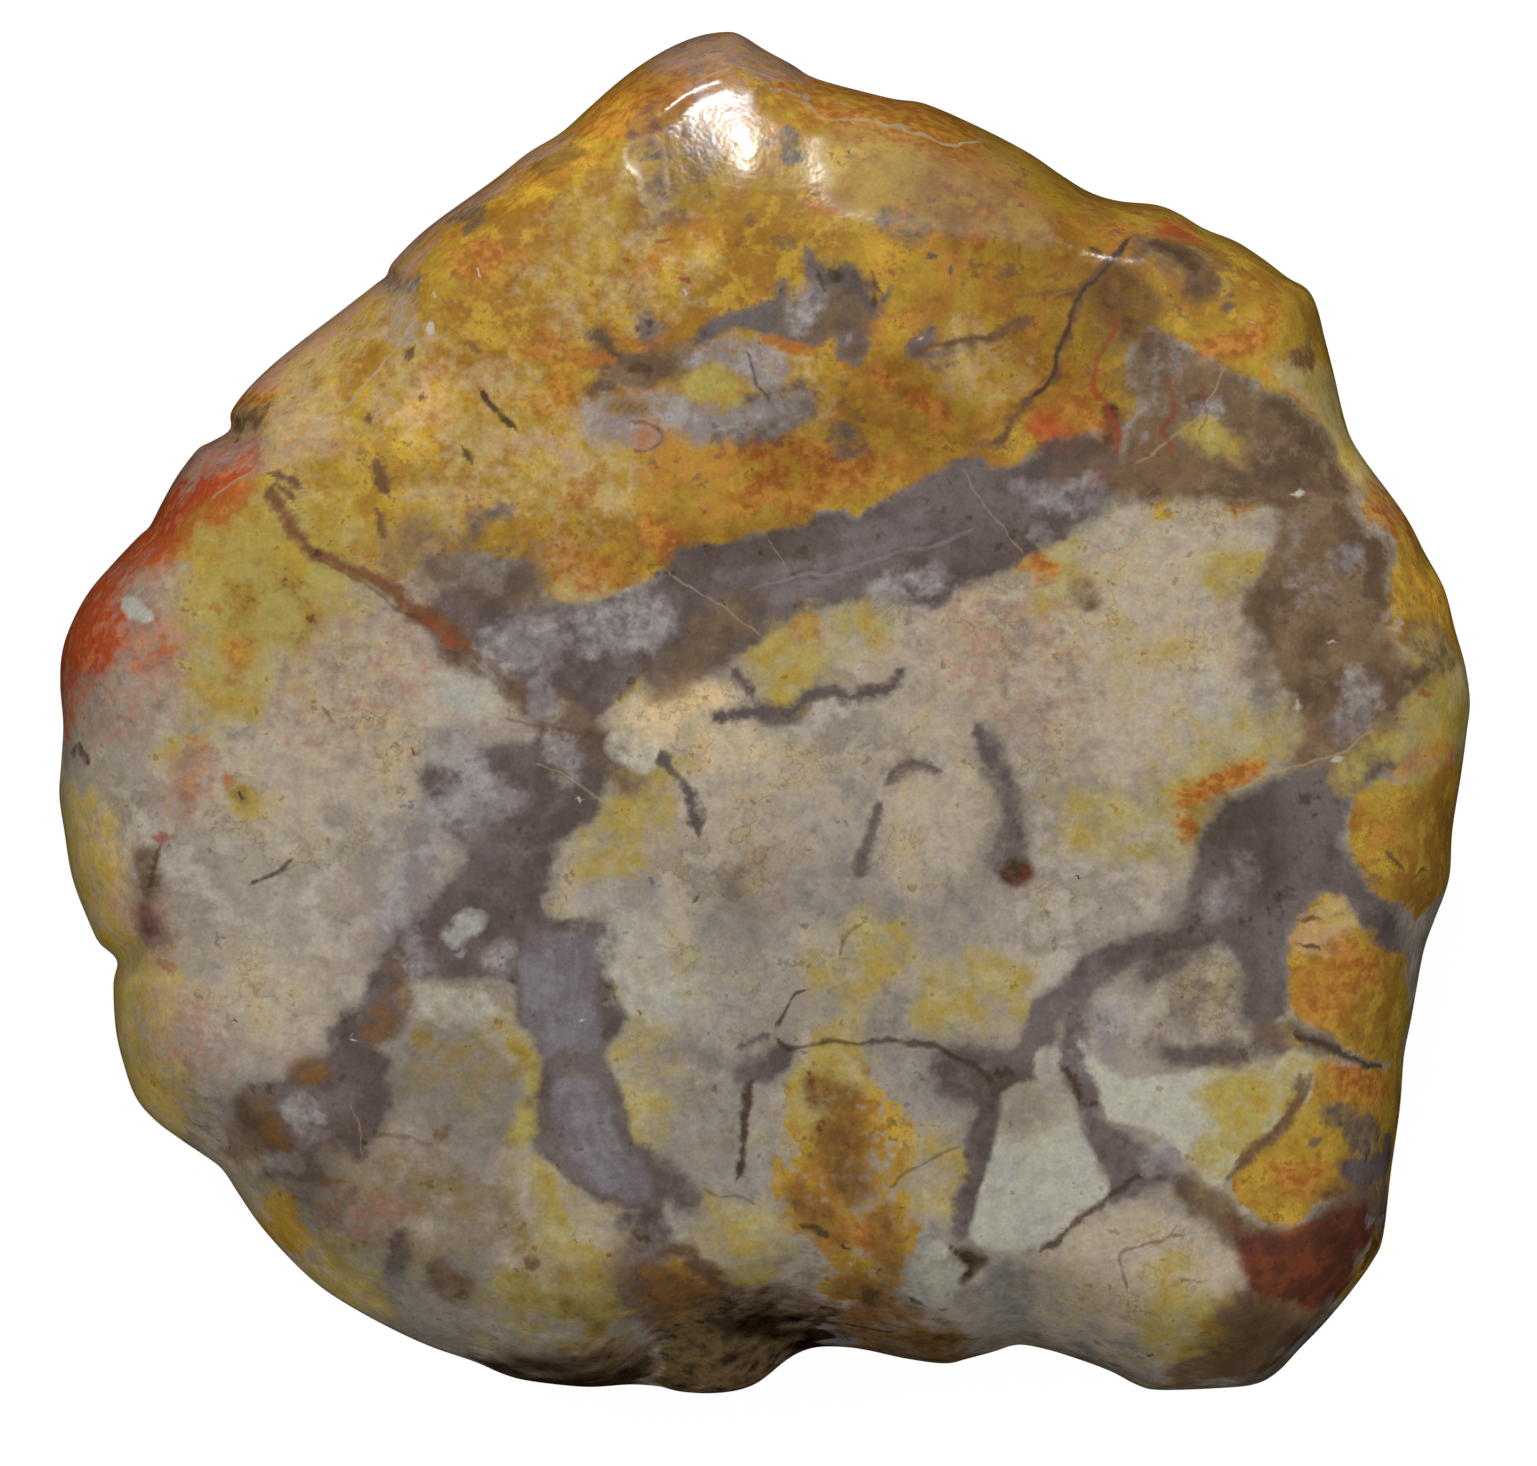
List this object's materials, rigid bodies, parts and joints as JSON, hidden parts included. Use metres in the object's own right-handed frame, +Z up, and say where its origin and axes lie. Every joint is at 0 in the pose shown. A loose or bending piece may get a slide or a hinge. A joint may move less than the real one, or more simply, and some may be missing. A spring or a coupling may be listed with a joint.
{
  "type": "dinosaur coprolite",
  "caption": "Polished agatised dinosaur coprolite: a tumbled, rounded slab with a glossy face and a flat back that it lies on.",
  "frame": {"origin": "middle of the stone's bounding box, on the surface that it lies on", "axes": "+Z up, out of the polished face; +Y towards the pointed top edge and +X to the right, both seen from above the polished face"},
  "size_m": [0.076, 0.0734, 0.024],
  "materials": {
    "agatised_stone": "polished agatised fossil: golden ochre, cream, grey-violet chalcedony and orange-red areas crossed by dark brown veins"
  },
  "bodies": {
    "root": {"coprolite": "agatised_stone"}
  },
  "joints": []
}
